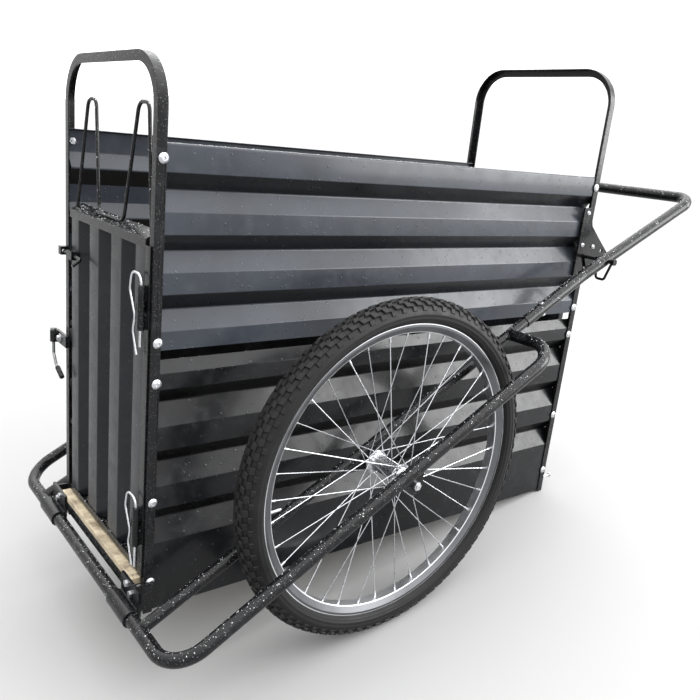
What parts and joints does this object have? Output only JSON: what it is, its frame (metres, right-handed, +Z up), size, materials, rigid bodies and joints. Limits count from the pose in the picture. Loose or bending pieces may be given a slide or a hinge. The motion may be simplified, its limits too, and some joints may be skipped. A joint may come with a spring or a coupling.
{
  "type": "garden cart",
  "caption": "Two-wheeled garden cart with a ribbed sheet-steel box, hinged end gates, plywood floor and a bent-tube push handle; the box tips forward about the front crossbar.",
  "frame": {"origin": "on the ground, under the middle of the cart's length and width", "axes": "+X from the front gate to the push handle, +Y to the far side, +Z up"},
  "size_m": [1.488, 0.7886, 1.0635],
  "materials": {
    "black_steel": "glossy black powder coat",
    "black_sheet": "satin black painted sheet",
    "zinc": "bright zinc plating",
    "alloy": "satin",
    "tyre": "black rubber",
    "plywood": "bare plywood",
    "dark_zinc": "dull zinc"
  },
  "bodies": {
    "chassis": {"outer_loop": "black_steel", "inner_tube_near": "black_steel", "inner_tube_far": "black_steel", "handle": "black_steel", "handle_bolts": "zinc", "axle_plates_near": "black_steel", "axle_plates_far": "black_steel", "axles": "zinc", "axle_nuts": "zinc", "lock_pin_near": "black_steel", "lock_pin_far": "black_steel"},
    "near_wheel": {"hub_near": "zinc", "rim_near": "alloy", "spokes_near": "zinc", "nipples_near": "zinc", "tyre_near": "tyre", "valve_near": "zinc"},
    "far_wheel": {"hub_far": "zinc", "rim_far": "alloy", "spokes_far": "zinc", "nipples_far": "zinc", "tyre_far": "tyre", "valve_far": "zinc"},
    "box": {"front_frame": "black_steel", "rear_frame": "black_steel", "upper_panel_near": "black_sheet", "upper_panel_far": "black_sheet", "lower_panel_near": "black_sheet", "lower_panel_far": "black_sheet", "floor_board": "plywood", "floor_end_lips": "black_steel", "floor_side_angles": "black_steel", "pivot_sleeves": "black_steel", "pivot_brackets": "black_steel", "bracket_bolts": "zinc", "panel_bolts": "zinc", "panel_nuts": "zinc", "hinge_strips": "black_steel", "gusset_near": "black_steel", "gusset_far": "black_steel", "gusset_bolts": "zinc", "latch_brackets": "black_steel", "bolt_keepers": "black_steel"},
    "front_gate_leaf": {"front_gate": "black_sheet", "front_gate_rails": "black_steel", "front_gate_handle": "black_steel", "front_hinge_leaves": "black_steel", "front_hinge_pins": "zinc", "front_bolt_guide": "black_steel"},
    "rear_gate_leaf": {"rear_gate": "black_sheet", "rear_gate_rails": "black_steel", "rear_hinge_leaves": "black_steel", "rear_hinge_pins": "zinc", "rear_bolt_guide": "black_steel"},
    "front_bolt": {"front_gate_bolt": "black_steel"},
    "rear_bolt": {"rear_gate_bolt": "black_steel"},
    "front_hook": {"front_latch_hook": "dark_zinc"},
    "rear_hook": {"rear_latch_hook": "dark_zinc"},
    "near_bow": {"pin_bow_near": "black_steel"},
    "far_bow": {"pin_bow_far": "black_steel"}
  },
  "joints": [
    {"name": "near_wheel_spin", "type": "hinge", "parent": "chassis", "child": "near_wheel", "pos_m": [-0.24177, -0.319, 0.33], "axis": [0, 1, 0], "continuous": true},
    {"name": "far_wheel_spin", "type": "hinge", "parent": "chassis", "child": "far_wheel", "pos_m": [-0.24177, 0.319, 0.33], "axis": [0, 1, 0], "continuous": true},
    {"name": "box_tip", "type": "hinge", "parent": "chassis", "child": "box", "pos_m": [-0.72967, 0, 0.18424], "axis": [0, -1, 0], "range_deg": [0, 75]},
    {"name": "front_gate_swing", "type": "hinge", "parent": "box", "child": "front_gate_leaf", "pos_m": [-0.66658, -0.186, 0.46227], "axis": [0.1524, 0, 0.9883], "range_deg": [0, 120]},
    {"name": "rear_gate_swing", "type": "hinge", "parent": "box", "child": "rear_gate_leaf", "pos_m": [0.41959, -0.186, 0.29482], "axis": [-0.1524, 0, -0.9883], "range_deg": [0, 95]},
    {"name": "front_bolt_slide", "type": "slide", "parent": "front_gate_leaf", "child": "front_bolt", "axis": [0, 1, 0], "range_m": [0, 0.03]},
    {"name": "rear_bolt_slide", "type": "slide", "parent": "rear_gate_leaf", "child": "rear_bolt", "axis": [0, 1, 0], "range_m": [0, 0.03]},
    {"name": "front_hook_turn", "type": "hinge", "parent": "box", "child": "front_hook", "pos_m": [-0.65553, 0.242, 0.5405], "axis": [-0.1524, 0, -0.9883], "range_deg": [0, 150]},
    {"name": "rear_hook_turn", "type": "hinge", "parent": "box", "child": "rear_hook", "pos_m": [0.43262, 0.242, 0.37275], "axis": [0.1524, 0, 0.9883], "range_deg": [0, 150]},
    {"name": "near_bow_swing", "type": "hinge", "parent": "chassis", "child": "near_bow", "pos_m": [0.43563, -0.259, 0.6023], "axis": [0, 1, 0], "range_deg": [-60, 40]},
    {"name": "far_bow_swing", "type": "hinge", "parent": "chassis", "child": "far_bow", "pos_m": [0.43563, 0.259, 0.6023], "axis": [0, 1, 0], "range_deg": [-60, 40]}
  ]
}
